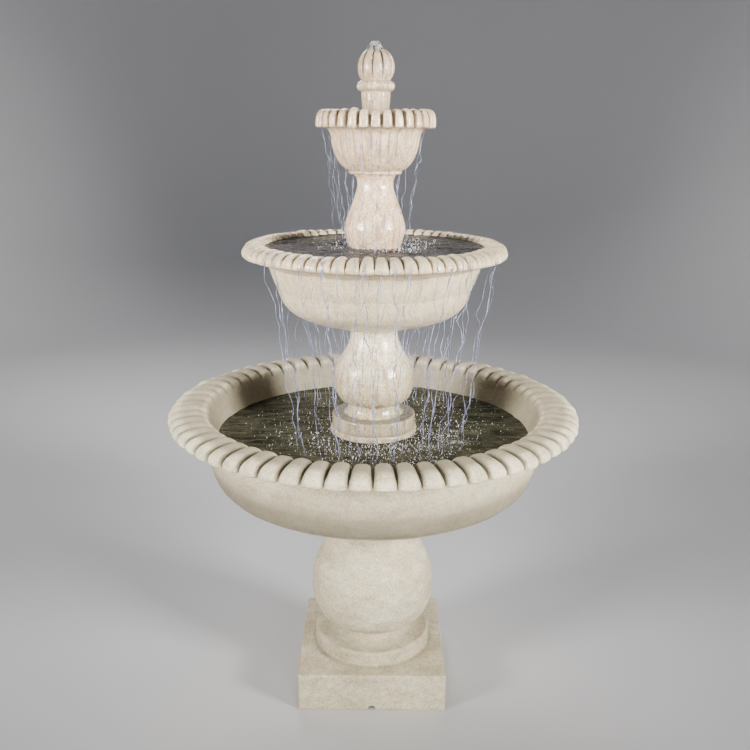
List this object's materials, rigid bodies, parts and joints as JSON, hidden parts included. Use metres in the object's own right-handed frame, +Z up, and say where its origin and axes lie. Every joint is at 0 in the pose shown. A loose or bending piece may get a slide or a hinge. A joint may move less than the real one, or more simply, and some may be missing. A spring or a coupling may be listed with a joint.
{
  "type": "tiered water fountain",
  "caption": "Free-standing cast-stone garden fountain: tiered lobed bowls on turned columns over a square plinth, with a recirculating pump inside.",
  "frame": {"origin": "centre of the square plinth's underside, on the ground", "axes": "+Z up along the columns, -Y towards the front, which is the side with the cord notch, +X to the viewer's right"},
  "size_m": [1.0886, 1.0886, 1.741],
  "materials": {
    "dry_stone": "matte cast stone, grey-cream, fine sandy grain",
    "cream_stone": "damp cast stone, cream with grey-green speckle",
    "wet_stone": "wet cast stone, pinkish beige with glossy highlights",
    "brass": "tarnished tube",
    "vinyl": "clear flexible tube",
    "stainless": "rolled strip",
    "rubber": "moulded, matte",
    "pump_plastic": "moulded, fine texture",
    "accent_plastic": "moulded, satin",
    "magnet": "sintered ferrite",
    "ceramic": "polished rod"
  },
  "bodies": {
    "fountain": {"base_pedestal": "dry_stone", "lower_basin": "dry_stone", "middle_bowl": "cream_stone", "pump_housing": "wet_stone", "middle_column": "wet_stone", "upper_column": "wet_stone", "top_bowl": "wet_stone", "riser_tube": "vinyl", "supply_hose": "vinyl", "hose_clamp_lower": "stainless", "hose_clamp_lower_screw": "stainless", "hose_clamp_upper": "stainless", "hose_clamp_upper_screw": "stainless", "middle_bowl_bung": "rubber", "top_bowl_bung": "rubber", "volute_o_ring": "rubber", "rotor_rear_bush": "rubber", "rotor_front_bush": "rubber", "suction_foot_front_left": "rubber", "suction_foot_front_right": "rubber", "suction_foot_rear_left": "rubber", "suction_foot_rear_right": "rubber", "pump_cord_gland": "rubber", "pump_motor_body": "pump_plastic", "pump_volute_cover": "pump_plastic", "rotor_shaft": "ceramic"},
    "finial": {"finial": "wet_stone", "finial_spout": "brass"},
    "rotor": {"impeller": "accent_plastic", "rotor_magnet": "magnet"},
    "strainer": {"strainer_cover": "pump_plastic"},
    "flow_dial": {"flow_dial": "accent_plastic"},
    "stopper": {"basin_stopper": "rubber"}
  },
  "joints": [
    {"name": "finial_lift", "type": "slide", "parent": "fountain", "child": "finial", "axis": [0, 0, 1], "range_m": [0, 0.13]},
    {"name": "rotor_spin", "type": "hinge", "parent": "fountain", "child": "rotor", "pos_m": [0, 0, 0.665], "axis": [0, -1, 0], "continuous": true},
    {"name": "strainer_pull", "type": "slide", "parent": "fountain", "child": "strainer", "axis": [0, -1, 0], "range_m": [0, 0.022]},
    {"name": "dial_turn", "type": "hinge", "parent": "strainer", "child": "flow_dial", "pos_m": [0, -0.05, 0.665], "axis": [0, -1, 0], "range_deg": [0, 45]},
    {"name": "stopper_lift", "type": "slide", "parent": "fountain", "child": "stopper", "axis": [0, 0, 1], "range_m": [0, 0.03]}
  ]
}
